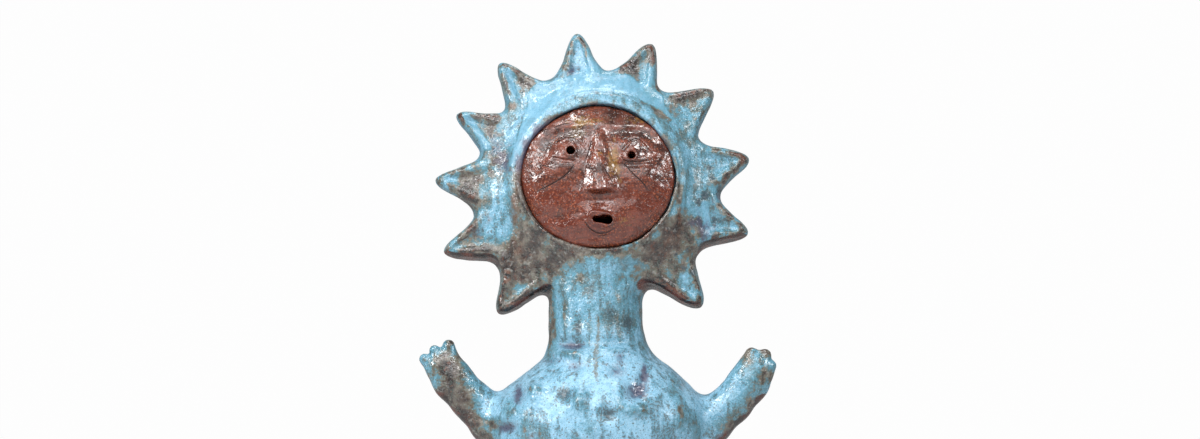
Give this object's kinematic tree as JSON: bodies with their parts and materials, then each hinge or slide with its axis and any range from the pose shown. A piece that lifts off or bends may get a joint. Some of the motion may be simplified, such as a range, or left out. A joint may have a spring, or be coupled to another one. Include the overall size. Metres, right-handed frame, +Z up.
{
  "type": "glazed ceramic sun figure",
  "caption": "Hand-built hollow stoneware figure with a rayed sun head, round clay face plate and raised arms, in turquoise glaze.",
  "frame": {"origin": "centre of the underside, on the surface the figure stands on", "axes": "+Z up through the neck and head; the face looks along -Y; the arms reach along X"},
  "size_m": [0.2121, 0.151, 0.432],
  "materials": {
    "turquoise_glaze": "glossy glaze breaking brown",
    "red_brown_clay": "clear glaze over red-brown clay"
  },
  "bodies": {
    "root": {"sun_figure": "turquoise_glaze", "face_plate": "red_brown_clay"}
  },
  "joints": []
}
